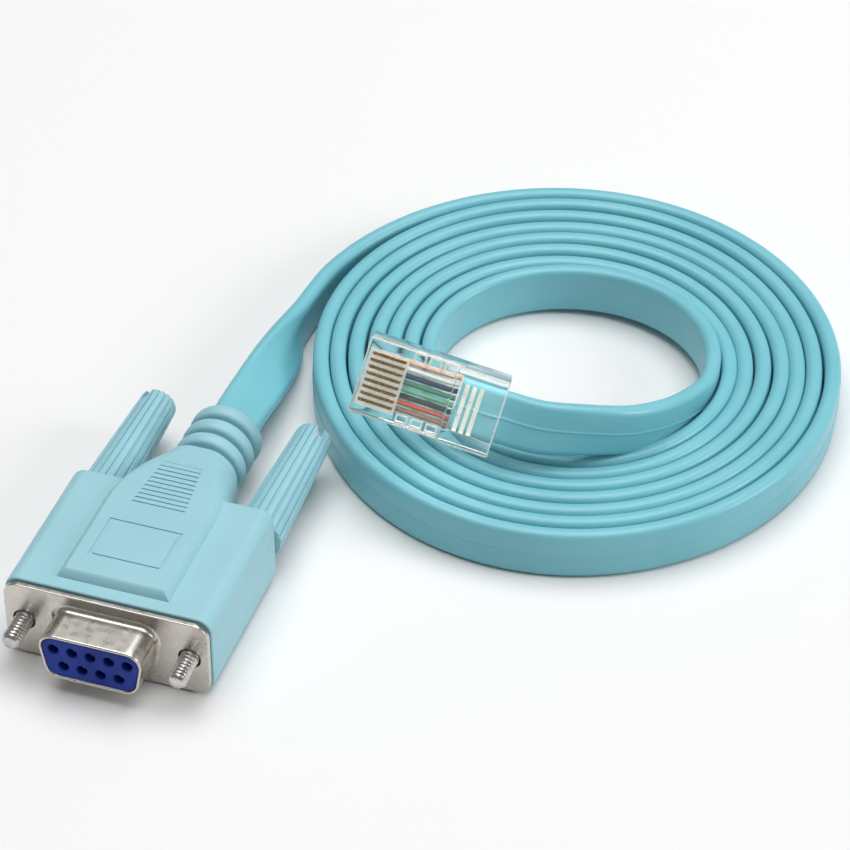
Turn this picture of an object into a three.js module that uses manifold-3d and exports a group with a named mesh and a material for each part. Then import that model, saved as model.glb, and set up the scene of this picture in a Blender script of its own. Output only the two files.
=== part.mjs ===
// Console cable: nine-way D-sub socket in a moulded hood with two thumbscrews, a flat
// eight-core cable coiled on its edge, and a clear eight-way modular plug on its far end.
// Millimetres, +Z up. The hood lies flat on its underside and mates towards -Y.
import * as THREE from 'three';
import { mergeVertices } from 'three/addons/utils/BufferGeometryUtils.js';
import Module from 'manifold-3d';

// Driving sizes
const CLEAR = 0.3; // clearance between touching pieces

// the nine socket contacts, in rows of five and four
const CONTACT_PITCH = 2.77;
const ROW_SPACING = 2.84;
const LONG_ROW = 5;
const HOLE_R = 0.8;
const CONTACT_R = 0.5;
const CONTACT_BORE_R = 0.28;
const CONTACT_SINK = 1.0;
const CONTACT_FLOOR = 1;

// the two screws, which set the width of the flange and of the hood
const SCREW_X = 12.495;
const SCREW_R = 1.42;
const SCREW_REACH = 5.6;
const SCREW_TO_EDGE = 2.91; // from a screw's axis to the flange's end

// metal shell of the socket
const FLANGE_W = 2 * (SCREW_X + SCREW_TO_EDGE);
const FLANGE_H = 12.55;
const FLANGE_T = 0.8;
const FLANGE_R = 2.2;
const SHROUD_SIDE = 2.625; // from the last contact of the long row to the shroud's side
const SHROUD_BACK = 2.53; // from a row to the shroud's top or bottom
const SHROUD_W = (LONG_ROW - 1) * CONTACT_PITCH + 2 * SHROUD_SIDE;
const SHROUD_H = ROW_SPACING + 2 * SHROUD_BACK;
const SHROUD_R = 2.4;
const SHROUD_WALL = 0.5;
const SHROUD_REACH = 5.9;
const SHROUD_LEAN = 10; // degrees that each end wall leans

const INSULATOR_SINK = 0.15; // the insulator's front lies this far inside the shroud's end

// thumb knobs
const KNOB_FRONT_R = 3.75;
const KNOB_REAR_R = 2.85;
const KNOB_L = 24.2;
const KNOB_RIBS = 18;
const KNOB_RIB_H = 0.28;
const SLOT_W = 1.2;
const SLOT_DEPTH = 2.2;
const SLOT_TURN = 30; // degrees from upright at rest, outwards
const SCREW_IN_KNOB = 8;
const SCREW_TIP_R = 1;
const SCREW_TIP_L = 0.57;

// hood
const HOOD_LIP_X = 0.195; // the hood stands past the flange's ends and sides by this much
const HOOD_LIP_Z = 0.325;
const HOOD_W = FLANGE_W + 2 * HOOD_LIP_X;
const HOOD_H = FLANGE_H + 2 * HOOD_LIP_Z;
const HOOD_R = 2.2;
const SHOULDER_Y = 26.2;
const PANEL_W = 17;
const PANEL_RISE = 1.2;
const PANEL_START = 3.2;
const PANEL_CHAMFER = 1.1;
const NECK_END = 36.8;
const NECK_W = 11;
const NECK_FALL = 2.1; // drop of the neck's top to its end
const NECK_FALL_L = 5.6;
const FRAME_W = 11.2;
const FRAME_START = 7.6;
const FRAME_L = 8.3;
const GROOVE_W = 0.5;
const GROOVE_DEPTH = 0.35;
const GRIP_START = 20;
const GRIP_PITCH = 0.95;
const GRIP_COUNT = 12;
const GRIP_FRONT_W = 8.2;
const GRIP_REAR_W = 5.8;

// strain relief
const RELIEF_RINGS = 3;
const RING_PITCH = 3.3;
const RING_W = 2.6;
const RING_R = 5.6;
const CORE_R = 4.5;
const NECK_GAP = 0.8; // extra room between the neck and the first ring
const RING_EDGE = 0.1;

// flat cable, standing on its edge in the coil
const CABLE_W = 8;
const CABLE_T = 2.5;
const CABLE_CORNER = 0.75;
const TURN_PITCH = 2.75;
const TURNS = 7;
const COIL_OUTER_R = 40.2;
const COIL_X = 43.4;
const COIL_Y = 80;
const TURN_NOTCH = 0.5;

// modular plug, in its own frame: x from the nose back, y across, z out of the contact face
const PLUG_L = 21.5;
const PLUG_W = 11.68;
const PLUG_T = 6.6;
const PLUG_STEP_X = 13.7;
const PLUG_STEP = 1.4;
const PLUG_POS = new THREE.Vector3(20.3, 49.3, 21.85);
const PLUG_ALONG = new THREE.Vector3(0.966, 0.109, -0.236);
const PLUG_OUT = new THREE.Vector3(0.2249, -0.8342, 0.5038);
const NUM_BLADES = 8;
const BLADE_PITCH = 1.02;
const BLADE_T = 0.34;
const BLADE_L = 5.2;
const BLADE_H = 1.9;
const BLADE_SINK = 0.35;
const BLADE_START = 0.9;
const SLIT_CLEAR = 0.13;
const WIRE_R = 0.4;
const WIRE_Z = -3.0;
const WIRE_START = 2.2;
const WIRE_END = 14.6;
const WIRE_CLEAR = 0.2;
const LATCH_W = 6.2;
const LATCH_TIP_W = 3.4;
const LATCH_T = 1.1;
const LATCH_L = 14;
const LATCH_DROP = 1.7;
const LATCH_ROOT_X = 1;
const LATCH_ROOT_L = 2;
const WINDOWS = 3;
const WINDOW_START = 6.9;
const WINDOW_PITCH = 2.7;
const WINDOW_L = 1.8;
const WINDOW_W = 0.9;
const WINDOW_EDGE = 0.5;
const WINDOW_DEPTH = 1.5;

// Places worked out from the sizes
const MID_Z = HOOD_H / 2;
const HOOD_FRONT = FLANGE_T + CLEAR;
const KNOB_FRONT = SHOULDER_Y + CLEAR;
const KNOB_REAR = KNOB_FRONT + KNOB_L;
const RELIEF_END = NECK_END + NECK_GAP + RELIEF_RINGS * RING_PITCH;
const ORIGIN_Y = (KNOB_REAR - SHROUD_REACH) / 2;
const COIL_BORE_R = COIL_OUTER_R - TURNS * TURN_PITCH;

const wasm = await Module();
wasm.setup();

function material(color, roughness, metalness, opacity = 1) {
  return new THREE.MeshStandardMaterial({
    color,
    roughness,
    metalness,
    opacity,
    transparent: opacity < 1,
  });
}

const jacket = material(0x7cc7d2, 0.42, 0);
const moulded = material(0x8ccad6, 0.5, 0);
const nickel = material(0xb9b4ad, 0.3, 1);
const blue = material(0x1f3fb0, 0.45, 0);
const gold = material(0xc9a24a, 0.3, 1);
const steel = material(0xa8a6a0, 0.35, 1);
const clear = material(0xdfe6e4, 0.1, 0, 0.35);
const wireColors = [0xd98a4a, 0xd8d8d2, 0x23346e, 0x4f9a78, 0x5aa884, 0x26211e, 0xc65a3a, 0x8a5a3c];

const group = new THREE.Group();

function addMesh(name, geometry, surface, parent = group) {
  const mesh = new THREE.Mesh(geometry, surface);
  mesh.name = name;
  parent.add(mesh);
  return mesh;
}

// Closed solids to cut and join
function toSolid(geometry) {
  const bare = geometry.clone();
  bare.deleteAttribute('normal');
  bare.deleteAttribute('uv');
  const merged = mergeVertices(bare, 1e-4);
  return new wasm.Manifold(
    new wasm.Mesh({
      numProp: 3,
      vertProperties: new Float32Array(merged.attributes.position.array),
      triVerts: new Uint32Array(merged.index.array),
    }),
  );
}

function toGeometry(solid) {
  const mesh = solid.getMesh();
  const geometry = new THREE.BufferGeometry();
  geometry.setAttribute('position', new THREE.BufferAttribute(mesh.vertProperties, 3));
  geometry.setIndex(new THREE.BufferAttribute(mesh.triVerts, 1));
  geometry.computeVertexNormals();
  return geometry;
}

function box(x0, x1, y0, y1, z0, z1) {
  const geometry = new THREE.BoxGeometry(x1 - x0, y1 - y0, z1 - z0);
  geometry.translate((x0 + x1) / 2, (y0 + y1) / 2, (z0 + z1) / 2);
  return geometry;
}

// a cylinder whose axis runs along Y
function rodY(radius, y0, y1, x, z, sides = 24) {
  const geometry = new THREE.CylinderGeometry(radius, radius, y1 - y0, sides);
  geometry.translate(x, (y0 + y1) / 2, z);
  return geometry;
}

// a shape drawn in X (across) and Z (up), pushed from y0 back to y1
function pushBack(shape, y0, y1, z = MID_Z) {
  const geometry = new THREE.ExtrudeGeometry(shape, {
    depth: y1 - y0,
    bevelEnabled: false,
    curveSegments: 6,
  });
  geometry.rotateX(Math.PI / 2);
  geometry.translate(0, y1, z);
  return geometry;
}

function roundedRect(w, h, r) {
  const shape = new THREE.Shape();
  const x = w / 2;
  const y = h / 2;
  shape.moveTo(-x + r, -y);
  shape.lineTo(x - r, -y);
  shape.absarc(x - r, -y + r, r, -Math.PI / 2, 0);
  shape.lineTo(x, y - r);
  shape.absarc(x - r, y - r, r, 0, Math.PI / 2);
  shape.lineTo(-x + r, y);
  shape.absarc(-x + r, y - r, r, Math.PI / 2, Math.PI);
  shape.lineTo(-x, -y + r);
  shape.absarc(-x + r, -y + r, r, Math.PI, Math.PI * 1.5);
  return shape;
}

// the D outline, wide side up, drawn inside the given width and height
function dOutline(w, h, r) {
  const lean = THREE.MathUtils.degToRad(SHROUD_LEAN);
  const shape = new THREE.Shape();
  const top = w / 2;
  const inset = h * Math.tan(lean);
  const bottom = top - inset;
  const y = h / 2;
  const topC = top - r * (1 / Math.cos(lean) + Math.tan(lean));
  const bottomC = bottom - r * (1 / Math.cos(lean) - Math.tan(lean));
  shape.moveTo(-bottomC, -y);
  shape.lineTo(bottomC, -y);
  shape.absarc(bottomC, -y + r, r, -Math.PI / 2, -lean);
  shape.absarc(topC, y - r, r, -lean, Math.PI / 2);
  shape.lineTo(-topC, y);
  shape.absarc(-topC, y - r, r, Math.PI / 2, Math.PI + lean);
  shape.absarc(-bottomC, -y + r, r, Math.PI + lean, Math.PI * 1.5);
  return shape;
}

// Nine-way socket
const contactSpots = [];
for (const [count, side] of [[LONG_ROW, 1], [LONG_ROW - 1, -1]]) {
  for (let i = 0; i < count; i += 1) {
    contactSpots.push([(i - (count - 1) / 2) * CONTACT_PITCH, (side * ROW_SPACING) / 2]);
  }
}

function shellGeometry() {
  const inner = dOutline(
    SHROUD_W - 2 * SHROUD_WALL,
    SHROUD_H - 2 * SHROUD_WALL,
    SHROUD_R - SHROUD_WALL,
  );
  const plate = toSolid(pushBack(roundedRect(FLANGE_W, FLANGE_H, FLANGE_R), 0, FLANGE_T));
  const shroud = toSolid(
    pushBack(dOutline(SHROUD_W, SHROUD_H, SHROUD_R), -SHROUD_REACH, FLANGE_T),
  );
  let solid = plate.add(shroud);
  solid = solid.subtract(toSolid(pushBack(inner, -SHROUD_REACH - 1, FLANGE_T + 1)));
  for (const side of [-1, 1]) {
    const hole = rodY(SCREW_R + CLEAR, -1, FLANGE_T + 1, side * SCREW_X, MID_Z);
    solid = solid.subtract(toSolid(hole));
  }
  return toGeometry(solid);
}

function insulatorGeometry() {
  const fit = SHROUD_WALL + CLEAR / 2;
  const outline = dOutline(SHROUD_W - 2 * fit, SHROUD_H - 2 * fit, SHROUD_R - fit);
  for (const [x, z] of contactSpots) {
    const hole = new THREE.Path();
    hole.absarc(x, z, HOLE_R, 0, Math.PI * 2, true);
    outline.holes.push(hole);
  }
  return pushBack(outline, -SHROUD_REACH + INSULATOR_SINK, FLANGE_T);
}

function contactGeometry() {
  const front = -SHROUD_REACH + INSULATOR_SINK + CONTACT_SINK;
  const length = FLANGE_T - front;
  const profile = [
    new THREE.Vector2(0, 0),
    new THREE.Vector2(CONTACT_R, 0),
    new THREE.Vector2(CONTACT_R, length),
    new THREE.Vector2(CONTACT_BORE_R, length),
    new THREE.Vector2(CONTACT_BORE_R, CONTACT_FLOOR),
    new THREE.Vector2(0, CONTACT_FLOOR),
  ];
  const geometry = new THREE.LatheGeometry(profile, 12);
  geometry.rotateX(Math.PI);
  geometry.translate(0, FLANGE_T, 0);
  return geometry;
}

addMesh('shell', shellGeometry(), nickel);
addMesh('insulator', insulatorGeometry(), blue);
contactSpots.forEach(([x, z], i) => {
  const mesh = addMesh(`contact_${i + 1}`, contactGeometry(), gold);
  mesh.position.set(x, 0, MID_Z + z);
});

// Hood with its neck and strain relief, one moulding
function panelGeometry() {
  const half = PANEL_W / 2 - PANEL_CHAMFER;
  const neck = NECK_W / 2 - PANEL_CHAMFER;
  const plan = new THREE.Shape([
    new THREE.Vector2(-half, PANEL_START + PANEL_CHAMFER),
    new THREE.Vector2(half, PANEL_START + PANEL_CHAMFER),
    new THREE.Vector2(half, SHOULDER_Y),
    new THREE.Vector2(neck, NECK_END - PANEL_CHAMFER),
    new THREE.Vector2(-neck, NECK_END - PANEL_CHAMFER),
    new THREE.Vector2(-half, SHOULDER_Y),
  ]);
  const bottom = MID_Z - RING_R;
  const geometry = new THREE.ExtrudeGeometry(plan, {
    depth: HOOD_H + PANEL_RISE - bottom - 2 * PANEL_CHAMFER,
    bevelThickness: PANEL_CHAMFER,
    bevelSize: PANEL_CHAMFER,
    bevelSegments: 2,
  });
  geometry.translate(0, 0, bottom + PANEL_CHAMFER);
  return geometry;
}

function reliefGeometry() {
  const profile = [new THREE.Vector2(0, SHOULDER_Y), new THREE.Vector2(CORE_R, SHOULDER_Y)];
  for (let i = 0; i < RELIEF_RINGS; i += 1) {
    const end = NECK_END + NECK_GAP + (i + 1) * RING_PITCH;
    const start = end - RING_W;
    const bulge = (RING_R - CORE_R) / 2;
    profile.push(new THREE.Vector2(CORE_R, start));
    profile.push(new THREE.Vector2(CORE_R + bulge, start + RING_EDGE));
    profile.push(new THREE.Vector2(RING_R, start + RING_W / 4));
    profile.push(new THREE.Vector2(RING_R, end - RING_W / 4));
    profile.push(new THREE.Vector2(CORE_R + bulge, end - RING_EDGE));
    profile.push(new THREE.Vector2(CORE_R, end));
  }
  profile.push(new THREE.Vector2(0, RELIEF_END));
  const geometry = new THREE.LatheGeometry(profile, 32);
  geometry.translate(0, 0, MID_Z);
  return geometry;
}

// what the neck's falling top takes off
function fallGeometry() {
  const top = HOOD_H + PANEL_RISE;
  const over = 1;
  const slope = NECK_FALL / NECK_FALL_L;
  const side = new THREE.Shape([
    new THREE.Vector2(NECK_END - NECK_FALL_L, top),
    new THREE.Vector2(NECK_END + over, top - NECK_FALL - slope * over),
    new THREE.Vector2(NECK_END + over, top + over),
    new THREE.Vector2(NECK_END - NECK_FALL_L, top + over),
  ]);
  const geometry = new THREE.ExtrudeGeometry(side, { depth: PANEL_W, bevelEnabled: false });
  const turn = new THREE.Matrix4().makeBasis(
    new THREE.Vector3(0, 1, 0),
    new THREE.Vector3(0, 0, 1),
    new THREE.Vector3(1, 0, 0),
  );
  geometry.applyMatrix4(turn);
  geometry.translate(-PANEL_W / 2, 0, 0);
  return geometry;
}

function hoodGeometry() {
  const top = HOOD_H + PANEL_RISE;
  let solid = toSolid(pushBack(roundedRect(HOOD_W, HOOD_H, HOOD_R), HOOD_FRONT, SHOULDER_Y));
  solid = solid.add(toSolid(panelGeometry()).subtract(toSolid(fallGeometry())));
  solid = solid.add(toSolid(reliefGeometry()));
  for (const side of [-1, 1]) {
    const channel = rodY(SCREW_R + CLEAR, 0, SHOULDER_Y + 1, side * SCREW_X, MID_Z);
    solid = solid.subtract(toSolid(channel));
  }
  // the sunk frame line: two legs and two bars
  const x = FRAME_W / 2;
  const y0 = FRAME_START;
  const y1 = FRAME_START + FRAME_L;
  const z0 = top - GROOVE_DEPTH;
  const lines = [
    box(-x, -x + GROOVE_W, y0, y1, z0, top + 1),
    box(x - GROOVE_W, x, y0, y1, z0, top + 1),
    box(-x, x, y0, y0 + GROOVE_W, z0, top + 1),
    box(-x, x, y1 - GROOVE_W, y1, z0, top + 1),
  ];
  for (let i = 0; i < GRIP_COUNT; i += 1) {
    const share = i / (GRIP_COUNT - 1);
    const half = (GRIP_FRONT_W + (GRIP_REAR_W - GRIP_FRONT_W) * share) / 2;
    const y = GRIP_START + i * GRIP_PITCH;
    lines.push(box(-half, half, y, y + GRIP_PITCH / 2, z0, top + 1));
  }
  for (const line of lines) {
    solid = solid.subtract(toSolid(line));
  }
  return toGeometry(solid);
}

addMesh('hood', hoodGeometry(), moulded);

// Thumb knobs on their screws
function knobGeometry(side) {
  const shape = (radius) => {
    const points = [];
    const steps = KNOB_RIBS * 4;
    for (let i = 0; i < steps; i += 1) {
      const a = (i / steps) * Math.PI * 2;
      const r = i % 4 < 2 ? radius : radius - KNOB_RIB_H;
      points.push(new THREE.Vector2(Math.cos(a) * r, Math.sin(a) * r));
    }
    return points;
  };
  const geometry = pushBack(new THREE.Shape(shape(1)), 0, KNOB_L, 0);
  const position = geometry.attributes.position;
  const front = shape(KNOB_FRONT_R);
  const rear = shape(KNOB_REAR_R);
  const unit = shape(1);
  for (let i = 0; i < position.count; i += 1) {
    const at = new THREE.Vector2(position.getX(i), -position.getZ(i));
    const k = unit.reduce(
      (best, p, j) => (p.distanceTo(at) < unit[best].distanceTo(at) ? j : best),
      0,
    );
    const to = position.getY(i) > KNOB_L / 2 ? rear[k] : front[k];
    position.setX(i, to.x);
    position.setZ(i, -to.y);
  }
  let solid = toSolid(geometry);
  solid = solid.subtract(toSolid(rodY(SCREW_R + CLEAR, -1, SCREW_IN_KNOB, 0, 0, 16)));
  const half = SLOT_W / 2;
  const slot = box(-half, half, KNOB_L - SLOT_DEPTH, KNOB_L + 1, -KNOB_FRONT_R, KNOB_FRONT_R);
  slot.rotateY(side * THREE.MathUtils.degToRad(SLOT_TURN));
  solid = solid.subtract(toSolid(slot));
  return toGeometry(solid);
}

function screwGeometry() {
  const end = KNOB_FRONT + SCREW_IN_KNOB - CLEAR;
  const profile = [
    new THREE.Vector2(0, -SCREW_REACH),
    new THREE.Vector2(SCREW_TIP_R, -SCREW_REACH),
    new THREE.Vector2(SCREW_R, -SCREW_REACH + SCREW_TIP_L),
    new THREE.Vector2(SCREW_R, end),
    new THREE.Vector2(0, end),
  ];
  return new THREE.LatheGeometry(profile, 16);
}

for (const [name, side] of [['left', -1], ['right', 1]]) {
  const knob = addMesh(`knob_${name}`, knobGeometry(side), moulded);
  knob.position.set(side * SCREW_X, KNOB_FRONT, MID_Z);
  const screw = addMesh(`screw_${name}`, screwGeometry(), steel);
  screw.position.set(side * SCREW_X, 0, MID_Z);
}

// Flat cable
// A path whose width direction turns from one given direction to another on the way.
class FlatPath extends THREE.CatmullRomCurve3 {
  constructor(points, widthStart, widthEnd, turnFrom, turnTo) {
    super(points, false, 'centripetal');
    this.widthStart = widthStart;
    this.widthEnd = widthEnd;
    this.turnFrom = turnFrom;
    this.turnTo = turnTo;
  }

  computeFrenetFrames(segments) {
    const tangents = [];
    const normals = [];
    const binormals = [];
    for (let i = 0; i <= segments; i += 1) {
      const u = i / segments;
      const tangent = this.getTangentAt(u);
      const turn = THREE.MathUtils.smoothstep(u, this.turnFrom, this.turnTo);
      const width = this.widthStart.clone().lerp(this.widthEnd, turn);
      width.addScaledVector(tangent, -width.dot(tangent)).normalize();
      tangents.push(tangent);
      normals.push(width);
      binormals.push(new THREE.Vector3().crossVectors(tangent, width));
    }
    return { tangents, normals, binormals };
  }
}

function cableSection() {
  const x = CABLE_W / 2;
  const y = CABLE_T / 2;
  return new THREE.Shape([
    new THREE.Vector2(-x + CABLE_CORNER, -y),
    new THREE.Vector2(x - CABLE_CORNER, -y),
    new THREE.Vector2(x, -y + CABLE_CORNER),
    new THREE.Vector2(x, y - CABLE_CORNER),
    new THREE.Vector2(x - CABLE_CORNER, y),
    new THREE.Vector2(-x + CABLE_CORNER, y),
    new THREE.Vector2(-x, y - CABLE_CORNER),
    new THREE.Vector2(-x, -y + CABLE_CORNER),
  ]);
}

function cableGeometry(path, steps) {
  return new THREE.ExtrudeGeometry(cableSection(), { extrudePath: path, steps });
}

// the plug's frame, used by the plug and by the cable that leaves it
const along = PLUG_ALONG.clone().normalize();
const out = PLUG_OUT.clone().addScaledVector(along, -PLUG_OUT.dot(along)).normalize();
const across = new THREE.Vector3().crossVectors(out, along);
const plugFrame = new THREE.Matrix4().makeBasis(along, across, out).setPosition(PLUG_POS);
const inPlug = (x, y, z) => new THREE.Vector3(x, y, z).applyMatrix4(plugFrame);

const upright = new THREE.Vector3(0, 0, 1);
const tailPath = new FlatPath(
  [
    new THREE.Vector3(0, RELIEF_END + CLEAR, MID_Z),
    new THREE.Vector3(0, RELIEF_END + 2, MID_Z),
    new THREE.Vector3(0, 55, 6.3),
    new THREE.Vector3(0, 61, 5.6),
    new THREE.Vector3(-0.1, 68, 4.8),
    new THREE.Vector3(-0.1, 76, 4.3),
    new THREE.Vector3(0.6, 83.7, 4.1),
    new THREE.Vector3(2.4, 91, 4.05),
    new THREE.Vector3(5.3, 97.8, 4.05),
  ],
  new THREE.Vector3(-1, 0, 0.05),
  upright,
  0,
  0.75,
);
addMesh('cable_tail', cableGeometry(tailPath, 18), jacket);

const endPath = new FlatPath(
  [
    inPlug(WIRE_END + CLEAR, 0, WIRE_Z),
    inPlug(PLUG_L, 0, WIRE_Z),
    new THREE.Vector3(46.1, 54.9, 14.1),
    new THREE.Vector3(51.1, 57.5, 13.4),
    new THREE.Vector3(55, 61.9, 13),
    new THREE.Vector3(57.5, 66.9, 12.2),
    new THREE.Vector3(60.1, 72.6, 8.7),
    new THREE.Vector3(61.9, 77.8, 5.3),
    new THREE.Vector3(62.4, 83, 4.1),
  ],
  across,
  upright,
  0.2,
  0.55,
);
addMesh('cable_end', cableGeometry(endPath, 18), jacket);

// the coil: a turned ring, notched between its turns on both ends
function coilGeometry() {
  const profile = [];
  const notch = TURN_NOTCH / 2;
  for (let i = 0; i <= TURNS; i += 1) {
    const r = COIL_BORE_R + i * TURN_PITCH;
    if (i > 0 && i < TURNS) {
      profile.push(new THREE.Vector2(r - notch, 0));
      profile.push(new THREE.Vector2(r, TURN_NOTCH));
      profile.push(new THREE.Vector2(r + notch, 0));
    } else {
      profile.push(new THREE.Vector2(r, 0));
    }
  }
  for (let i = TURNS; i >= 0; i -= 1) {
    const r = COIL_BORE_R + i * TURN_PITCH;
    if (i > 0 && i < TURNS) {
      profile.push(new THREE.Vector2(r + notch, CABLE_W));
      profile.push(new THREE.Vector2(r, CABLE_W - TURN_NOTCH));
      profile.push(new THREE.Vector2(r - notch, CABLE_W));
    } else {
      profile.push(new THREE.Vector2(r, CABLE_W));
    }
  }
  profile.push(profile[0].clone());
  const geometry = new THREE.LatheGeometry(profile, 48);
  geometry.rotateX(Math.PI / 2);
  return geometry;
}

const coil = addMesh('cable_coil', coilGeometry(), jacket);
coil.position.set(COIL_X, COIL_Y, 0);

// Clear modular plug with its latch, one moulding
const plug = new THREE.Group();
plug.applyMatrix4(plugFrame);
group.add(plug);
const bladeY = (i) => ((NUM_BLADES - 1) / 2 - i) * BLADE_PITCH;

function plugGeometry() {
  const half = PLUG_W / 2;
  let solid = toSolid(box(0, PLUG_L, -half, half, -PLUG_T, 0));
  solid = solid.add(toSolid(box(PLUG_STEP_X, PLUG_L, -half, half, -PLUG_T, PLUG_STEP)));
  // the latch hangs from the nose and lies back under the body
  const side = new THREE.Shape([
    new THREE.Vector2(LATCH_ROOT_X, -PLUG_T + LATCH_T),
    new THREE.Vector2(LATCH_ROOT_X, -PLUG_T - LATCH_T / 2),
    new THREE.Vector2(LATCH_L, -PLUG_T - LATCH_DROP),
    new THREE.Vector2(LATCH_L, -PLUG_T - LATCH_DROP + LATCH_T),
    new THREE.Vector2(LATCH_ROOT_X + LATCH_ROOT_L, -PLUG_T - LATCH_T / 4),
    new THREE.Vector2(LATCH_ROOT_X + LATCH_ROOT_L, -PLUG_T + LATCH_T),
  ]);
  const latch = new THREE.ExtrudeGeometry(side, { depth: LATCH_W, bevelEnabled: false });
  latch.rotateX(Math.PI / 2);
  latch.translate(0, LATCH_W / 2, 0);
  let lever = toSolid(latch);
  for (const s of [-1, 1]) {
    const y = (s * (LATCH_TIP_W + LATCH_W)) / 2;
    const trim = box(LATCH_L / 2, LATCH_L + 1, y - LATCH_W / 2, y + LATCH_W / 2, -PLUG_T - 5, -PLUG_T);
    lever = lever.subtract(toSolid(trim));
  }
  solid = solid.add(lever);
  // slits for the blades
  const slit = BLADE_T / 2 + SLIT_CLEAR;
  for (let i = 0; i < NUM_BLADES; i += 1) {
    const y = bladeY(i);
    const cut = box(
      BLADE_START - SLIT_CLEAR,
      BLADE_START + BLADE_L + SLIT_CLEAR,
      y - slit,
      y + slit,
      -BLADE_SINK - BLADE_H - SLIT_CLEAR,
      PLUG_STEP + 1,
    );
    solid = solid.subtract(toSolid(cut));
  }
  // the wires' passage, and the cable's wider mouth behind it
  const reach = ((NUM_BLADES - 1) * BLADE_PITCH) / 2 + WIRE_R + WIRE_CLEAR;
  const tall = WIRE_R + WIRE_CLEAR;
  const passage = box(WIRE_START - CLEAR, WIRE_END + 1, -reach, reach, WIRE_Z - tall, WIRE_Z + tall);
  solid = solid.subtract(toSolid(passage));
  const mouthW = CABLE_W / 2 + CLEAR;
  const mouthH = CABLE_T / 2 + CLEAR;
  const mouth = box(WIRE_END, PLUG_L + 1, -mouthW, mouthW, WIRE_Z - mouthH, WIRE_Z + mouthH);
  solid = solid.subtract(toSolid(mouth));
  // shallow windows along each side of the contact face
  for (let i = 0; i < WINDOWS; i += 1) {
    const x = WINDOW_START + i * WINDOW_PITCH;
    for (const s of [-1, 1]) {
      const y = s * (half - WINDOW_EDGE - WINDOW_W / 2);
      const cut = box(x, x + WINDOW_L, y - WINDOW_W / 2, y + WINDOW_W / 2, -WINDOW_DEPTH, 1);
      solid = solid.subtract(toSolid(cut));
    }
  }
  return toGeometry(solid);
}

addMesh('plug_body', plugGeometry(), clear, plug);
for (let i = 0; i < NUM_BLADES; i += 1) {
  const blade = new THREE.BoxGeometry(BLADE_L, BLADE_T, BLADE_H);
  const contact = addMesh(`plug_contact_${i + 1}`, blade, gold, plug);
  contact.position.set(BLADE_START + BLADE_L / 2, bladeY(i), -BLADE_SINK - BLADE_H / 2);
  const core = new THREE.CylinderGeometry(WIRE_R, WIRE_R, WIRE_END - WIRE_START, 8);
  core.rotateZ(Math.PI / 2);
  const wire = addMesh(`wire_${i + 1}`, core, material(wireColors[i], 0.45, 0), plug);
  wire.position.set((WIRE_START + WIRE_END) / 2, bladeY(i), WIRE_Z);
}

// the origin is under the middle of the socket, hood and knobs
group.position.y = -ORIGIN_Y;

export default group;
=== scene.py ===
"""Console cable: nine-way socket in a moulded hood, flat cable coiled on its edge, clear
modular plug on the far end. Lengths are written in millimetres in the hood's own frame
(X across, Y back from the flange's front, Z up from the floor) and placed by spot()."""
import math

import bmesh
import bpy
from mathutils import Matrix, Vector


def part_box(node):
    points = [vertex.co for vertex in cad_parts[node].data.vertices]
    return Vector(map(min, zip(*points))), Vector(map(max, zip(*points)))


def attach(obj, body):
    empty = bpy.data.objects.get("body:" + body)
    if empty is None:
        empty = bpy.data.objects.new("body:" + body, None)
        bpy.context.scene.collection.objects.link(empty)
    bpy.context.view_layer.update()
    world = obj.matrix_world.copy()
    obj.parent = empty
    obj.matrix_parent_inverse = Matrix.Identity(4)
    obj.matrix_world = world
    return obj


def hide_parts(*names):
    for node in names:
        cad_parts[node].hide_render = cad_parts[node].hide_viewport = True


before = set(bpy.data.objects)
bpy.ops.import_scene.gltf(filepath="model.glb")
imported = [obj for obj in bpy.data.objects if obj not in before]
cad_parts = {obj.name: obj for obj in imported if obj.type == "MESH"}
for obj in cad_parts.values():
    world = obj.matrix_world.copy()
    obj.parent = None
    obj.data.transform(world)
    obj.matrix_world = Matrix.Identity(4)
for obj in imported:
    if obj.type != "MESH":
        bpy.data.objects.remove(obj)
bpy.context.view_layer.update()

MM = 0.001
UP = Vector((0, 0, 1))

# Socket sizes
FLANGE_W, FLANGE_H, FLANGE_T, FLANGE_R = 30.81, 12.55, 0.8, 2.2
SHROUD_W, SHROUD_H, SHROUD_R, SHROUD_WALL = 16.33, 7.9, 2.4, 0.5
SHROUD_REACH, SHROUD_LEAN = 5.9, math.radians(10)
SHROUD_FILLET = 0.85
INSULATOR_SINK, HOLE_R = 0.15, 0.8
CONTACT_PITCH, ROW_SPACING, LONG_ROW = 2.77, 2.84, 5
SCREW_X, SCREW_R, SCREW_REACH = 12.495, 1.42, 5.2
THREAD_PITCH, THREAD_DEPTH, THREAD_END = 0.635, 0.26, FLANGE_T + 3
HOLE_LEAD_R, HOLE_LEAD_L = 0.62, 0.12

# Hood and strain relief sizes
CLEAR = 0.3
HOOD_W, HOOD_H, HOOD_R, HOOD_FRONT, SHOULDER_Y = 31.2, 13.2, 2.2, 1.1, 26.2
PANEL_W, PANEL_RISE, PANEL_START, PANEL_CHAMFER, PANEL_BOW = 17.0, 1.2, 3.2, 1.1, 0.3
PANEL_TOP = HOOD_H + PANEL_RISE
NECK_END, NECK_W, NECK_ROUND, NECK_TALLER = 36.8, 11.0, 4.2, 0.4
NECK_FALL, NECK_FALL_L, NECK_GAP = 2.1, 8.0, 0.8
FRAME_W, FRAME_START, FRAME_L, GROOVE_W, GROOVE_DEPTH = 11.2, 7.6, 8.3, 0.55, 0.16
GRIP_START, GRIP_PITCH, GRIP_COUNT, GRIP_FRONT_W, GRIP_REAR_W = 20.0, 0.95, 12, 8.2, 5.8
RELIEF_RINGS, RING_PITCH, RING_W, RING_R, CORE_R = 3, 3.3, 2.6, 5.6, 4.2
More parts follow.
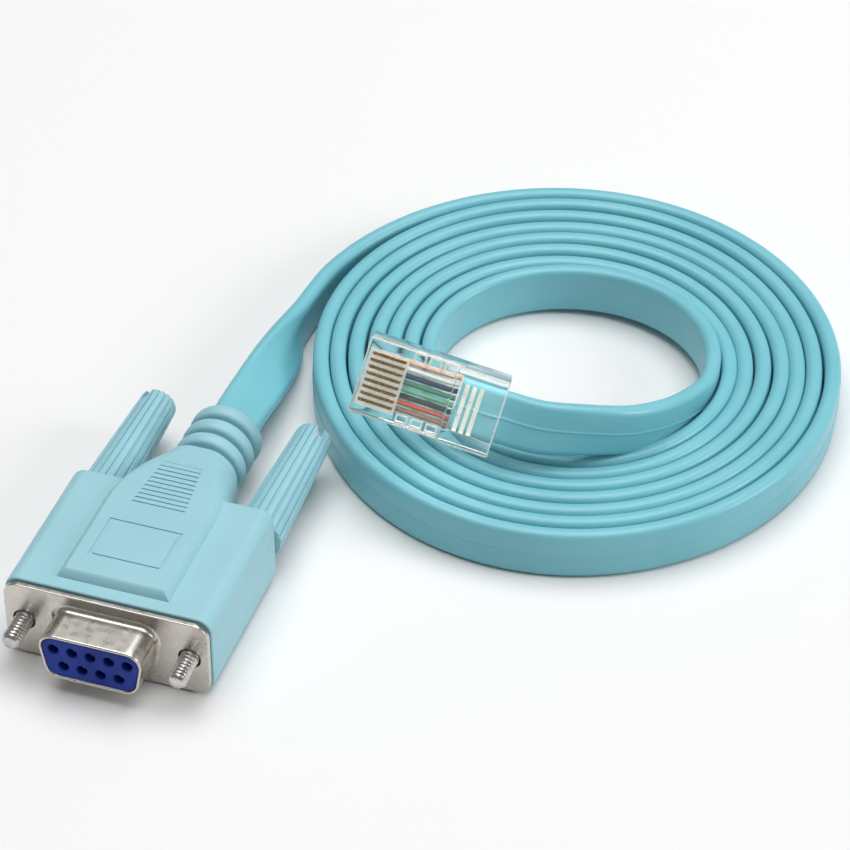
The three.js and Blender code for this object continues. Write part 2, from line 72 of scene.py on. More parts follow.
RELIEF_END = NECK_END + NECK_GAP + RELIEF_RINGS * RING_PITCH
MID_Z = HOOD_H / 2

# Knob sizes
KNOB_FRONT, KNOB_L, KNOB_FRONT_R, KNOB_REAR_R = SHOULDER_Y + CLEAR, 24.2, 3.75, 2.85
KNOB_RIBS, KNOB_GROOVE, SLOT_W, SLOT_DEPTH = 18, 0.3, 1.2, 2.2
SLOT_TURN = math.radians(30)
# one rib: share of the rib's angle and share of the groove's depth
KNOB_RIB = [(-0.12, 1), (0.12, 1), (0.19, 0), (0.34, 0), (0.66, 0), (0.81, 0)]

# Flat cable
CABLE_W, CABLE_T, CABLE_CORNER = 8.0, 2.5, 1.05
SEAM_W, SEAM_RISE, SEAM_SINK, SIDE_FLAT = 0.22, 0.1, 0.02, 1.5
DISH_EDGE, DISH_MIDDLE = 0.03, 0.04

# Plug sizes, in the plug's own frame: x from the nose back, y across, z out of the contact face
PLUG_L, PLUG_W, PLUG_T, PLUG_STEP_X, PLUG_STEP, PLUG_BEVEL = 21.5, 11.68, 6.6, 13.7, 1.4, 0.28
PLUG_POS = Vector((20.3, 49.3, 21.85))
PLUG_ALONG = Vector((0.966, 0.109, -0.236)).normalized()
PLUG_OUT = Vector((0.2249, -0.8342, 0.5038))
WIRE_Z, WIRE_END = -3.0, 14.6
BLADES, BLADE_PITCH, BLADE_T, BLADE_START, BLADE_END = 8, 1.02, 0.34, 0.9, 6.1
SLIT_CLEAR, SLIT_DEPTH, COMB_START, COMB_HALF, COMB_DEPTH = 0.1, 2.38, 0.5, 4.35, 0.14
WINDOW_STARTS, WINDOW_L, WINDOW_Y, WINDOW_HALF = (7.2, 9.5, 11.8), 1.3, 4.75, 0.6
WINDOW_DEPTH, WINDOW_RIM, WINDOW_RIM_DEPTH = 1.4, 0.3, 0.2
WIRES_START, WIRES_HALF, WIRES_TALL = 1.9, 4.2, 0.6
LATCH_SIDE = [(1, -5.5), (1, -7.2), (14, -8.3), (14, -7.2), (3, -6.9), (3, -5.5)]
LATCH_HALF, LATCH_TIP_HALF, LATCH_TIP_X = 3.1, 1.7, 7
MOUTH_CLEAR, CUT_TOP = 0.15, 3
POCKET_STARTS, POCKET_L, POCKET_HALF, POCKET_DEPTH = (15.3, 16.4, 17.5), 0.65, 3.5, 1.5

# The hood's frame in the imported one: the shroud's front is the lowest Y of the shell
SHIFT = Vector((0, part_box("shell")[0].y / MM + SHROUD_REACH, 0))


def spot(point):
    """A point of the hood's frame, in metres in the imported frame."""
    return (Vector(point) + SHIFT) * MM


def plug_frame():
    out = (PLUG_OUT - PLUG_ALONG * PLUG_OUT.dot(PLUG_ALONG)).normalized()
    across = out.cross(PLUG_ALONG)
    turn = Matrix((PLUG_ALONG, across, out)).transposed().to_4x4()
    return Matrix.Translation(PLUG_POS) @ turn


PLUG = plug_frame()
PLUG_ACROSS = (PLUG.to_3x3() @ Vector((0, 1, 0))).normalized()


def in_plug(x, y, z):
    return PLUG @ Vector((x, y, z))


# Camera
CAMERA_AT = Vector((156.8, -324.1, 343.2))
CAMERA_TILT, CAMERA_TURN, LENS, SENSOR = math.radians(50.2), math.radians(18.7), 148.2, 36


def make_camera():
    data = bpy.data.cameras.new("view")
    data.lens, data.sensor_width = LENS, SENSOR
    camera = bpy.data.objects.new("view", data)
    camera.location = spot(CAMERA_AT)
    camera.rotation_euler = (CAMERA_TILT, 0, CAMERA_TURN)
    bpy.context.scene.collection.objects.link(camera)
    bpy.context.scene.camera = camera


make_camera()


# Mesh helpers
def make_object(name, points, faces, sharp=35):
    """A mesh object from points in the hood's frame, smooth but for edges over sharp degrees."""
    mesh = bpy.data.meshes.new(name)
    mesh.from_pydata([spot(p) for p in points], [], faces)
    mesh.update()
    thing = bpy.data.objects.new(name, mesh)
    bpy.context.scene.collection.objects.link(thing)
    fix_normals(thing)
    shade(thing, sharp)
    return thing


def fix_normals(thing):
    work = bmesh.new()
    work.from_mesh(thing.data)
    bmesh.ops.recalc_face_normals(work, faces=work.faces)
    work.to_mesh(thing.data)
    work.free()


def shade(thing, sharp):
    mesh = thing.data
    mesh.polygons.foreach_set("use_smooth", [True] * len(mesh.polygons))
    mesh.set_sharp_from_angle(angle=math.radians(sharp))
    mesh.update()


def loft(rings, closed_ends=True, loop=False):
    """Faces between rings of as many points each; returns points and faces."""
    n = len(rings[0])
    points = [p for ring in rings for p in ring]
    faces = []
    spans = len(rings) if loop else len(rings) - 1
    for i in range(spans):
        a, b = i * n, ((i + 1) % len(rings)) * n
        faces += [(a + k, a + (k + 1) % n, b + (k + 1) % n, b + k) for k in range(n)]
    if closed_ends and not loop:
        faces.append(tuple(range(n))[::-1])
        faces.append(tuple(len(points) - n + k for k in range(n)))
    return points, faces


def arc(cx, cy, rx, ry, start, end, steps):
    turns = [math.radians(start + (end - start) * i / steps) for i in range(steps + 1)]
    return [(cx + rx * math.cos(a), cy + ry * math.sin(a)) for a in turns]


def rounded_rect(w, h, r, steps=8):
    x, y = w / 2 - r, h / 2 - r
    corners = [(x, -y, -90), (x, y, 0), (-x, y, 90), (-x, -y, 180)]
    return [p for cx, cy, a in corners for p in arc(cx, cy, r, r, a, a + 90, steps)]


def d_outline(w, h, r, steps=10):
    """The D of the shroud, wide side up."""
    lean = math.degrees(SHROUD_LEAN)
    tan, sec = math.tan(SHROUD_LEAN), 1 / math.cos(SHROUD_LEAN)
    wide = w / 2 - r * (sec + tan)
    narrow = w / 2 - h * tan - r * (sec - tan)
    y = h / 2 - r
    corners = [
        (narrow, -y, -90, -lean),
        (wide, y, -lean, 90),
        (-wide, y, 90, 180 + lean),
        (-narrow, -y, 180 + lean, 270),
    ]
    return [p for cx, cy, a, b in corners for p in arc(cx, cy, r, r, a, b, steps)]


def bake(thing):
    """Puts the modifiers into the mesh."""
    graph = bpy.context.evaluated_depsgraph_get()
    mesh = bpy.data.meshes.new_from_object(thing.evaluated_get(graph))
    thing.modifiers.clear()
    thing.data = mesh


def boolean(thing, cutter, operation="DIFFERENCE"):
    step = thing.modifiers.new("cut", "BOOLEAN")
    step.operation, step.solver, step.object = operation, "EXACT", cutter
    step.use_self = True
    bake(thing)
    bpy.data.objects.remove(cutter)


def bevel(thing, width, segments=2, angle=40):
    step = thing.modifiers.new("edges", "BEVEL")
    step.width, step.segments = width * MM, segments
    step.limit_method, step.angle_limit = "ANGLE", math.radians(angle)
    step.harden_normals = False
    bake(thing)


def even_normals(thing):
    step = thing.modifiers.new("normals", "WEIGHTED_NORMAL")
    step.keep_sharp = True


def box_faces(x0, x1, y0, y1, z0, z1):
    points = [(x, y, z) for z in (z0, z1) for x, y in ((x0, y0), (x1, y0), (x1, y1), (x0, y1))]
    faces = [(3, 2, 1, 0), (4, 5, 6, 7), (0, 1, 5, 4), (1, 2, 6, 5), (2, 3, 7, 6), (3, 0, 4, 7)]
    return points, faces


def merged(parts):
    """Several (points, faces) as one."""
    points, faces = [], []
    for more, sides in parts:
        start = len(points)
        points += list(more)
        faces += [tuple(start + k for k in side) for side in sides]
    return points, faces


def circle(radius, x, y, z, sides):
    """Points round an axis along Y."""
    turns = [2 * math.pi * k / sides for k in range(sides)]
    return [(x + radius * math.cos(a), y, z + radius * math.sin(a)) for a in turns]


def rod(radius, y0, y1, x, z, sides=48):
    return loft([circle(radius, x, y, z, sides) for y in (y0, y1)])


def set_material(thing, material):
    thing.data.materials.clear()
    thing.data.materials.append(material)


def finish_piece(thing, material, body="cable_set", nodes=()):
    set_material(thing, material)
    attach(thing, body)
    if nodes:
        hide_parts(*nodes)


# Materials
def shader(name, color, roughness, metallic=0.0):
    material = bpy.data.materials.new(name)
    material.use_nodes = True
    surface = material.node_tree.nodes["Principled BSDF"]
    surface.inputs["Base Color"].default_value = (*color, 1)
    surface.inputs["Roughness"].default_value = roughness
    surface.inputs["Metallic"].default_value = metallic
    return material, surface


def add_noise(material, scale, detail=3.0, stretch=(1, 1, 1)):
    """Noise over the object's own coordinates; scale is in waves per metre."""
    nodes, links = material.node_tree.nodes, material.node_tree.links
    where = nodes.new("ShaderNodeTexCoord")
    mapping = nodes.new("ShaderNodeMapping")
    mapping.inputs["Scale"].default_value = stretch
    pattern = nodes.new("ShaderNodeTexNoise")
    pattern.inputs["Scale"].default_value = scale
    pattern.inputs["Detail"].default_value = detail
    links.new(where.outputs["Object"], mapping.inputs["Vector"])
    links.new(mapping.outputs["Vector"], pattern.inputs["Vector"])
    return pattern


def vary_color(material, surface, pattern, dark, light, low=0.3, high=0.7):
    nodes, links = material.node_tree.nodes, material.node_tree.links
    ramp = nodes.new("ShaderNodeValToRGB")
    ramp.color_ramp.elements[0].position, ramp.color_ramp.elements[1].position = low, high
    ramp.color_ramp.elements[0].color = (*dark, 1)
    ramp.color_ramp.elements[1].color = (*light, 1)
    links.new(pattern.outputs["Fac"], ramp.inputs["Fac"])
    links.new(ramp.outputs["Color"], surface.inputs["Base Color"])


def vary_roughness(material, surface, pattern, low, high):
    nodes, links = material.node_tree.nodes, material.node_tree.links
    span = nodes.new("ShaderNodeMapRange")
    span.inputs["From Min"].default_value = 0.3
    span.inputs["From Max"].default_value = 0.7
    span.inputs["To Min"].default_value = low
    span.inputs["To Max"].default_value = high
    links.new(pattern.outputs["Fac"], span.inputs["Value"])
    links.new(span.outputs["Result"], surface.inputs["Roughness"])


def add_bump(material, surface, pattern, strength, distance):
    nodes, links = material.node_tree.nodes, material.node_tree.links
    bump = nodes.new("ShaderNodeBump")
    bump.inputs["Strength"].default_value = strength
    bump.inputs["Distance"].default_value = distance
    links.new(pattern.outputs["Fac"], bump.inputs["Height"])
    links.new(bump.outputs["Normal"], surface.inputs["Normal"])


def jacket_material():
    material, surface = shader("jacket", (0.19, 0.52, 0.6), 0.34)
    tint = add_noise(material, 55, 4)
    vary_color(material, surface, tint, (0.17, 0.495, 0.575), (0.205, 0.545, 0.625))
    vary_roughness(material, surface, add_noise(material, 260, 3), 0.28, 0.42)
    add_bump(material, surface, add_noise(material, 700, 2), 0.12, 0.00012)
    surface.inputs["Subsurface Weight"].default_value = 0.08
    surface.inputs["Subsurface Radius"].default_value = (0.0006, 0.0011, 0.0013)
    return material


def moulded_material():
    material, surface = shader("moulded", (0.3, 0.56, 0.63), 0.5)
    tint = add_noise(material, 90, 4)
    vary_color(material, surface, tint, (0.29, 0.545, 0.615), (0.315, 0.575, 0.645))
    vary_roughness(material, surface, add_noise(material, 420, 3), 0.42, 0.56)
    add_bump(material, surface, add_noise(material, 3800, 2), 0.18, 0.00003)
    surface.inputs["Subsurface Weight"].default_value = 0.08
    surface.inputs["Subsurface Radius"].default_value = (0.0006, 0.001, 0.0012)
    return material


def nickel_material():
    material, surface = shader("nickel", (0.62, 0.6, 0.56), 0.3, 1.0)
    tint = add_noise(material, 160, 4)
    vary_color(material, surface, tint, (0.6, 0.57, 0.52), (0.66, 0.63, 0.58))
    vary_roughness(material, surface, add_noise(material, 900, 4), 0.24, 0.36)
    add_bump(material, surface, add_noise(material, 2600, 3), 0.1, 0.00003)
    return material


def steel_material():
    material, surface = shader("screw_steel", (0.6, 0.59, 0.56), 0.3, 1.0)
    tint = add_noise(material, 700, 3)
    vary_color(material, surface, tint, (0.5, 0.49, 0.46), (0.68, 0.67, 0.64))
    vary_roughness(material, surface, add_noise(material, 1500, 3), 0.22, 0.42)
    return material


def gold_material():
    material, surface = shader("gold", (0.78, 0.56, 0.24), 0.28, 1.0)
    tint = add_noise(material, 900, 3)
    vary_color(material, surface, tint, (0.7, 0.48, 0.2), (0.84, 0.63, 0.3))
    vary_roughness(material, surface, add_noise(material, 2000, 3), 0.2, 0.38)
    return material


def insulator_material():
    material, surface = shader("insulator", (0.006, 0.035, 0.33), 0.5)
    tint = add_noise(material, 300, 4)
    vary_color(material, surface, tint, (0.004, 0.028, 0.28), (0.008, 0.042, 0.36))
    surface.inputs["Specular IOR Level"].default_value = 0.25
    vary_roughness(material, surface, add_noise(material, 900, 3), 0.42, 0.58)
    add_bump(material, surface, add_noise(material, 3000, 2), 0.1, 0.00003)
    return material


def clear_material():
    material, surface = shader("clear_plastic", (0.95, 0.97, 0.96), 0.06)
    surface.inputs["Transmission Weight"].default_value = 0.965
    surface.inputs["IOR"].default_value = 1.45
    vary_roughness(material, surface, add_noise(material, 500, 3), 0.03, 0.12)
    add_bump(material, surface, add_noise(material, 420, 2), 0.05, 0.0001)
    return material


def painted_highlight_material():
    """Painted highlight: white for the clear plug's bevelled rims and its cut and sunk faces,
    standing in for the light these edges and cuts catch.
    """
    material, surface = shader("clear_plastic_painted_highlight", (0.95, 0.95, 0.93), 0.3)
    surface.inputs["Transmission Weight"].default_value = 0.3
    surface.inputs["IOR"].default_value = 1.45
    vary_color(material, surface, add_noise(material, 800, 3), (0.8, 0.77, 0.7), (0.92, 0.9, 0.84))
    vary_roughness(material, surface, add_noise(material, 900, 3), 0.22, 0.42)
    return material


def wire_material(name, color):
    material, surface = shader(name, color, 0.45)
    light = [min(1.0, c * 1.15 + 0.01) for c in color]
    vary_color(material, surface, add_noise(material, 600, 3), color, light)
    vary_roughness(material, surface, add_noise(material, 1200, 2), 0.36, 0.52)
    return material


jacket = jacket_material()
moulded = moulded_material()
nickel = nickel_material()
steel = steel_material()
gold = gold_material()
blue = insulator_material()
clear = clear_material()
painted_highlight = painted_highlight_material()


# Flat cable: tail, coil and end as one ribbon
COIL_X, COIL_Y = 42.6, 79.4
COIL_START, COIL_END, COIL_STEP = -90, 2610, 15
START_R, TURN_PITCH = 44.0, 2.75
TAIL = [
    (0, 47.8, 6.6),
    (0, 50, 6.55),
    (0, 55, 6.3),
    (0, 61, 5.6),
    (-0.1, 67, 4.9),
    (-0.15, 73, 4.4),
]
END = [
    (64.2, 73.6, 7.4),
    (61.8, 67.3, 9.4),
    (57.9, 61.7, 11.4),
    (52.3, 57.6, 13.1),
    (46.3, 55, 14.1),
]
# lengths of cable over which its width turns upright, and how the inner turn rises before END
TAIL_TURN, END_TURN = 40, 26
END_LIFT, LIFT_START, LIFT_END = 1.9, COIL_END - 165, COIL_END + 10
# where the coil departs from a circle: direction and spread in degrees
REAR_HUMP, RIGHT_HUMP, FRONT_DENT = (-15, 55), (85, 55), (240, 52)
# and by how much: at the first turn, and more for each turn inwards
REAR_BULGE, REAR_PER_TURN = 1.3, -0.3
RIGHT_BULGE, RIGHT_PER_TURN = -0.5, 0.15
DENT_DEPTH, DENT_FROM, DENT_OVER = 3.1, 60, 120
WAVER = 0.06


def bump(angle, middle, spread):
    """A smooth hump of height 1 round the coil at the given direction, in degrees."""
    away = (angle - middle + 180) % 360 - 180
    return math.exp(-((away / spread) ** 2))


def coil_point(angle):
    """The coil's centreline; angle is clockwise from the back, in degrees, over all turns."""
    turns = (angle - COIL_START) / 360
    radius = START_R - TURN_PITCH * turns - CABLE_T / 2
    radius += (REAR_BULGE + REAR_PER_TURN * turns) * bump(angle, *REAR_HUMP)
    radius += (RIGHT_PER_TURN * turns + RIGHT_BULGE) * bump(angle, *RIGHT_HUMP)
    pressed = min(1.0, max(0.0, (angle - DENT_FROM) / DENT_OVER))
    radius -= DENT_DEPTH * pressed * bump(angle, *FRONT_DENT)
    radius += WAVER * math.sin(math.radians(2 * angle) + 1.7 * int(turns + 0.5))
    a = math.radians(angle)
    height = CABLE_W / 2 + END_LIFT * smoothstep(angle, LIFT_START, LIFT_END)
    return Vector((COIL_X + radius * math.sin(a), COIL_Y + radius * math.cos(a), height))


def smoothstep(value, low, high):
    t = min(1.0, max(0.0, (value - low) / (high - low)))
    return t * t * (3 - 2 * t)


def cable_route():
    """Control points with the direction of the cable's width at each."""
    flat = Vector((-1, 0, 0.05))
    route = []
    gone = 0
    for i, point in enumerate(TAIL):
        if i:
            gone += (Vector(point) - Vector(TAIL[i - 1])).length
        route.append((Vector(point), flat.lerp(UP, smoothstep(gone, 0, TAIL_TURN))))
    for angle in range(COIL_START, COIL_END + 1, COIL_STEP):
        sway = 0.035 * math.sin(math.radians(angle * 1.31))
        a = math.radians(angle)
        outward = Vector((math.sin(a), math.cos(a), 0))
        route.append((coil_point(angle), UP + outward * sway))
    rear = in_plug(PLUG_L, 0, WIRE_Z)
    for point in END:
        left = (Vector(point) - rear).length
        route.append((Vector(point), PLUG_ACROSS.lerp(UP, smoothstep(left, 0, END_TURN))))
    route.append((rear, PLUG_ACROSS))
    route.append((in_plug(WIRE_END + CLEAR, 0, WIRE_Z), PLUG_ACROSS))
    return route


def catmull(a, b, c, d, t):
    """The smooth curve between b and c, at share t."""
    square, cube = 2 * a - 5 * b + 4 * c - d, 3 * b - a - 3 * c + d
    return 0.5 * (2 * b + (c - a) * t + square * t**2 + cube * t**3)


def cable_stations(per_span):
    """Places along the cable with the tangent and width direction at each."""
    route = cable_route()
    first = (2 * route[0][0] - route[1][0], route[0][1])
    last = (2 * route[-1][0] - route[-2][0], route[-1][1])
    ends = [first, *route, last]
    places, widths = [], []
    for i in range(len(ends) - 3):
        span = ends[i : i + 4]
        for k in range(per_span):
            places.append(catmull(*[p for p, w in span], k / per_span))
            widths.append(catmull(*[w for p, w in span], k / per_span))
    places.append(route[-1][0])
    widths.append(route[-1][1])
    return places, widths


def cable_section():
    """Outline over width (first) and thickness (second), with a seam ridge on the outer face."""
    w, t, r = CABLE_W / 2, CABLE_T / 2, CABLE_CORNER
    edge, middle = t - DISH_EDGE, t - DISH_MIDDLE
    dish = [(SIDE_FLAT, edge), (0, middle), (-SIDE_FLAT, edge)]
    foot, peak = SEAM_SINK - t, -t - SEAM_RISE
    seam = [(-SIDE_FLAT, foot), (-SEAM_W * 1.5, foot), (-SEAM_W, foot), (-SEAM_W / 3, peak)]
    seam += [(-across, out) for across, out in reversed(seam)]
    outline = arc(w - r, t - r, r, r, 0, 90, 5) + dish
    outline += arc(r - w, t - r, r, r, 90, 180, 5)
    outline += arc(r - w, r - t, r, r, 180, 270, 5) + seam
    return outline + arc(w - r, r - t, r, r, 270, 360, 5)


def make_cable():
    places, widths = cable_stations(5)
    section = cable_section()
    rings = []
    for i, place in enumerate(places):
        ahead = places[min(i + 1, len(places) - 1)]
        behind = places[max(i - 1, 0)]
        tangent = (ahead - behind).normalized()
        width = (widths[i] - tangent * widths[i].dot(tangent)).normalized()
        thick = tangent.cross(width)
        rings.append([place + width * a + thick * b for a, b in section])
    cable = make_object("flat_cable", *loft(rings), sharp=60)
    length = sum((b - a).length for a, b in zip(places, places[1:])) * MM
    finish_piece(cable, jacket, nodes=("cable_tail", "cable_coil", "cable_end"))
    return cable, [spot(p) for p in places], length


cable, cable_path, cable_length = make_cable()


# Metal shell: flange and shroud
def inset_rings(outline, depths):
    """One ring for each (y, inset): outline(inset) drawn at that y."""
    return [[(x, y, MID_Z + z) for x, z in outline(inset)] for y, inset in depths]


def round_edge(y_flat, y_side, radius, steps=4):
    """(y, inset) pairs of a rounded edge from a flat end at y_flat to the side at y_side."""
    sign = 1 if y_side > y_flat else -1
    pairs = []
    for i in range(steps + 1):
        a = math.pi / 2 * i / steps
        pairs.append((y_flat + sign * radius * (1 - math.cos(a)), radius * (1 - math.sin(a))))
    return pairs


def shroud_outline(inset):
    return d_outline(SHROUD_W - 2 * inset, SHROUD_H - 2 * inset, max(0.3, SHROUD_R - inset))


def shell_flange():
    def plate(inset):
        return rounded_rect(FLANGE_W - 2 * inset, FLANGE_H - 2 * inset, FLANGE_R - inset)

    front = round_edge(0, FLANGE_T, 0.16)
    back = round_edge(FLANGE_T, 0, 0.1, 2)[::-1]
    flange = make_object("shell", *loft(inset_rings(plate, front + back)))
    opening = inset_rings(shroud_outline, [(-1, 0), (FLANGE_T + 1, 0)])
    boolean(flange, make_object("bore", *loft(opening)))
    for side in (-1, 1):
        hole = make_object("hole", *rod(SCREW_R + CLEAR, -1, FLANGE_T + 1, side * SCREW_X, MID_Z))
        boolean(flange, hole)
    return flange


def shroud_sleeve():
    """The shroud's wall: fillet at the flange, rolled front edge, and its inner face."""
    fillet, tip = SHROUD_FILLET, SHROUD_WALL / 2
    wall = [(FLANGE_T - 0.1, -fillet), (0.05, -fillet)]
    for i in range(1, 9):
        a = math.pi / 2 * i / 8
        wall.append((-fillet * (1 - math.cos(a)), -fillet * (1 - math.sin(a))))
    wall.append((-SHROUD_REACH + 1.2, 0))
    for i in range(9):
        a = math.pi * i / 8
        wall.append((-SHROUD_REACH + tip - tip * math.sin(a), tip - tip * math.cos(a)))
    wall += [(-SHROUD_REACH + 1.2, SHROUD_WALL), (FLANGE_T - 0.1, SHROUD_WALL)]
    rings = inset_rings(shroud_outline, wall)
    return make_object("sleeve", *loft(rings, loop=True), sharp=45)


def make_shell():
    shell = shell_flange()
    join(shell, [shroud_sleeve()])
    shade(shell, 40)
    even_normals(shell)
    finish_piece(shell, nickel, nodes=("shell",))


def join(thing, others):
    """Adds the others' meshes to thing."""
    work = bmesh.new()
    work.from_mesh(thing.data)
    for other in others:
        work.from_mesh(other.data)
        bpy.data.objects.remove(other)
    work.to_mesh(thing.data)
    work.free()


def contact_spots():
    spots = []
    for count, side in ((LONG_ROW, 1), (LONG_ROW - 1, -1)):
        for i in range(count):
            spots.append(((i - (count - 1) / 2) * CONTACT_PITCH, side * ROW_SPACING / 2))
    return spots


def make_insulator():
    fit = SHROUD_WALL + CLEAR / 2 - 0.1

    def outline(inset):
        gap = fit + inset
        return d_outline(SHROUD_W - 2 * gap, SHROUD_H - 2 * gap, SHROUD_R - gap)

    front = -SHROUD_REACH + INSULATOR_SINK
    pairs = round_edge(front, FLANGE_T, 0.18, 3) + [(FLANGE_T, 0)]
    insulator = make_object("insulator_block", *loft(inset_rings(outline, pairs)))
    steps = [
        (front - 0.5, HOLE_R + HOLE_LEAD_R),
        (front + HOLE_LEAD_L, HOLE_R),
        (FLANGE_T - 0.6, HOLE_R),
    ]
    cutters = []
    for x, z in contact_spots():
        cutters.append(loft([circle(r, x, y, MID_Z + z, 40) for y, r in steps]))
    boolean(insulator, make_object("holes", *merged(cutters)))
    shade(insulator, 30)
    even_normals(insulator)
    finish_piece(insulator, blue, nodes=("insulator",))


# Screws with a real thread
def make_screw(name, side):
    sides, step = 40, 0.08
    end = KNOB_FRONT + 4
    rings = []
    y = -SCREW_REACH
    while y < end:
        ring = []
        tip = max(0.0, 0.42 - (y + SCREW_REACH)) * 1.1
        threaded = 1 if y < THREAD_END else 0
        for k in range(sides):
            a = 2 * math.pi * k / sides
            wave = abs(((y / THREAD_PITCH + k / sides) % 1) * 2 - 1)
            r = min(SCREW_R - tip, SCREW_R - THREAD_DEPTH * threaded * min(1, wave * 1.25))
            ring.append((side * SCREW_X + r * math.cos(a), y, MID_Z + r * math.sin(a)))
        rings.append(ring)
        y += step if y < THREAD_END else 2.0
    screw = make_object(f"stud_{name}", *loft(rings), sharp=50)
    finish_piece(screw, steel, f"thumbscrew_{name}", (f"screw_{name}",))


# Knobs
def knob_profile():
    """(distance back, inset) pairs of the knob's side, with both ends rounded."""
    front, rear, flare = 0.35, 0.6, 0.02
    profile = []
    for i in range(4):
        a = math.pi / 2 * i / 3
        profile.append((front * (1 - math.cos(a)), front * (1 - math.sin(a))))
    profile += [(rear, 0), (KNOB_L * 0.3, 0), (KNOB_L * 0.6, 0), (KNOB_L - 1.2, 0)]
    profile.append((KNOB_L - rear, flare))
    for i in range(1, 6):
        a = math.pi / 2 * i / 5
        profile.append((KNOB_L - rear + rear * math.sin(a), flare + rear * (1 - math.cos(a))))
    return profile


def make_knob(name, side):
    middle = Vector((side * SCREW_X, KNOB_FRONT, MID_Z))
    rings = []
    for along, inset in knob_profile():
        radius = KNOB_FRONT_R + (KNOB_REAR_R - KNOB_FRONT_R) * along / KNOB_L - inset
        groove = KNOB_GROOVE * min(1, along / 0.3) * (1 if along < KNOB_L - 0.8 else 0.6)
        ring = []
        for k in range(KNOB_RIBS):
            for share, depth in KNOB_RIB:
                a = 2 * math.pi * (k + share) / KNOB_RIBS
                r = radius - groove * depth
                ring.append(middle + Vector((r * math.cos(a), along, r * math.sin(a))))
        rings.append(ring)
    knob = make_object(f"knob_grip_{name}", *loft(rings), sharp=60)
    half, deep = SLOT_W / 2, KNOB_L - SLOT_DEPTH
    slot, faces = box_faces(-half, half, deep, KNOB_L + 1, -KNOB_FRONT_R, KNOB_FRONT_R)
    turn = Matrix.Rotation(side * SLOT_TURN, 3, "Y")
    boolean(knob, make_object("slot", [turn @ Vector(p) + middle for p in slot], faces))
    shade(knob, 28)
    finish_piece(knob, moulded, f"thumbscrew_{name}", (f"knob_{name}",))


# Hood with its panel, neck and strain relief
def hood_slab():
    def outline(inset):
        return rounded_rect(HOOD_W - 2 * inset, HOOD_H - 2 * inset, HOOD_R - inset)

    pairs = round_edge(HOOD_FRONT, SHOULDER_Y, 0.3, 3)
    pairs += [(SHOULDER_Y * 0.4, 0), (SHOULDER_Y * 0.7, 0)]
    pairs += round_edge(SHOULDER_Y, HOOD_FRONT, 0.9, 5)[::-1]
    return make_object("hood_body", *loft(inset_rings(outline, pairs)))


def panel_section(y, half, top, cut_x, cut_z, roundness, low, low_round):
    """The panel and neck across: chamfered at first, an arch at the neck's end."""
    side = []
    for i in range(7):
        a = math.pi / 2 * (1 - i / 6)
        out, down = low_round * math.cos(a), low_round * math.sin(a)
        side.append((half - low_round + out, low + low_round - down))
    for i in range(9):
        t = i / 8
        a = math.pi / 2 * t
        line = (half - cut_x * t, top - cut_z * (1 - t))
        bow = (half - cut_x + cut_x * math.cos(a), top - cut_z + cut_z * math.sin(a))
        side.append(tuple(line[k] + (bow[k] - line[k]) * roundness for k in range(2)))
    return [(x, y, z) for x, z in side] + [(-x, y, z) for x, z in reversed(side)]


def panel_front(low):
    """The panel's sloped front end, rising from the hood's top."""
    rings = []
    for share in (0.0, 0.15, 0.5, 0.85, 1.0):
        y = PANEL_START + PANEL_CHAMFER * share
        lift = PANEL_RISE * math.sin(math.pi / 2 * share) ** 0.9 if share else 0
        cut = max(0.02, PANEL_CHAMFER * lift / PANEL_RISE)
        rise = max(0.02, lift)
        rings.append(panel_section(y, PANEL_W / 2, HOOD_H + lift, cut, rise, PANEL_BOW, low, 1.0))
    return rings


def hood_panel():
    low = MID_Z - RING_R
    rings = panel_front(low)
    start = PANEL_START + PANEL_CHAMFER + 0.3
    for i in range(25):
        y = start + (NECK_END - 0.4 - start) * i / 24
        narrow = smoothstep(y, SHOULDER_Y - 3.5, NECK_END + 1.5)
        arch = smoothstep(y, SHOULDER_Y - 6, NECK_END)
        half = PANEL_W / 2 + (NECK_W - PANEL_W) / 2 * narrow
        cut_x = PANEL_CHAMFER + (NECK_ROUND - PANEL_CHAMFER) * arch
        cut_z = PANEL_RISE + (NECK_ROUND + NECK_TALLER - PANEL_RISE) * arch
        fall = NECK_FALL * smoothstep(y, NECK_END - NECK_FALL_L, NECK_END + 1)
        high = PANEL_TOP - fall
        bow = PANEL_BOW + (1 - PANEL_BOW) * arch
        rings.append(panel_section(y, half, high, cut_x, cut_z, bow, low, 1.0 + 2.2 * arch))
    for inset, back in ((0.12, 0.12), (0.35, 0.0)):
        y, half, top = NECK_END - back, NECK_W / 2 - inset, high - inset
        cut_x, cut_z = NECK_ROUND, NECK_ROUND + NECK_TALLER
        rings.append(panel_section(y, half, top, cut_x, cut_z, 1.0, low + inset, 3.2))
    return make_object("panel", *loft(rings))


def strain_relief():
    profile = [(SHOULDER_Y + 2, 0.01), (SHOULDER_Y + 2, CORE_R)]
    for i in range(RELIEF_RINGS):
        middle = NECK_END + NECK_GAP + (i + 1) * RING_PITCH - RING_W / 2
        for k in range(13):
            a = math.pi * k / 12
            bulge = math.sin(a) ** 0.45 if 0 < k < 12 else 0
            profile.append((middle - RING_W / 2 * math.cos(a), CORE_R + (RING_R - CORE_R) * bulge))
    profile.append((RELIEF_END, 0.01))
    return make_object("relief", *loft([circle(r, 0, y, MID_Z, 96) for y, r in profile]))


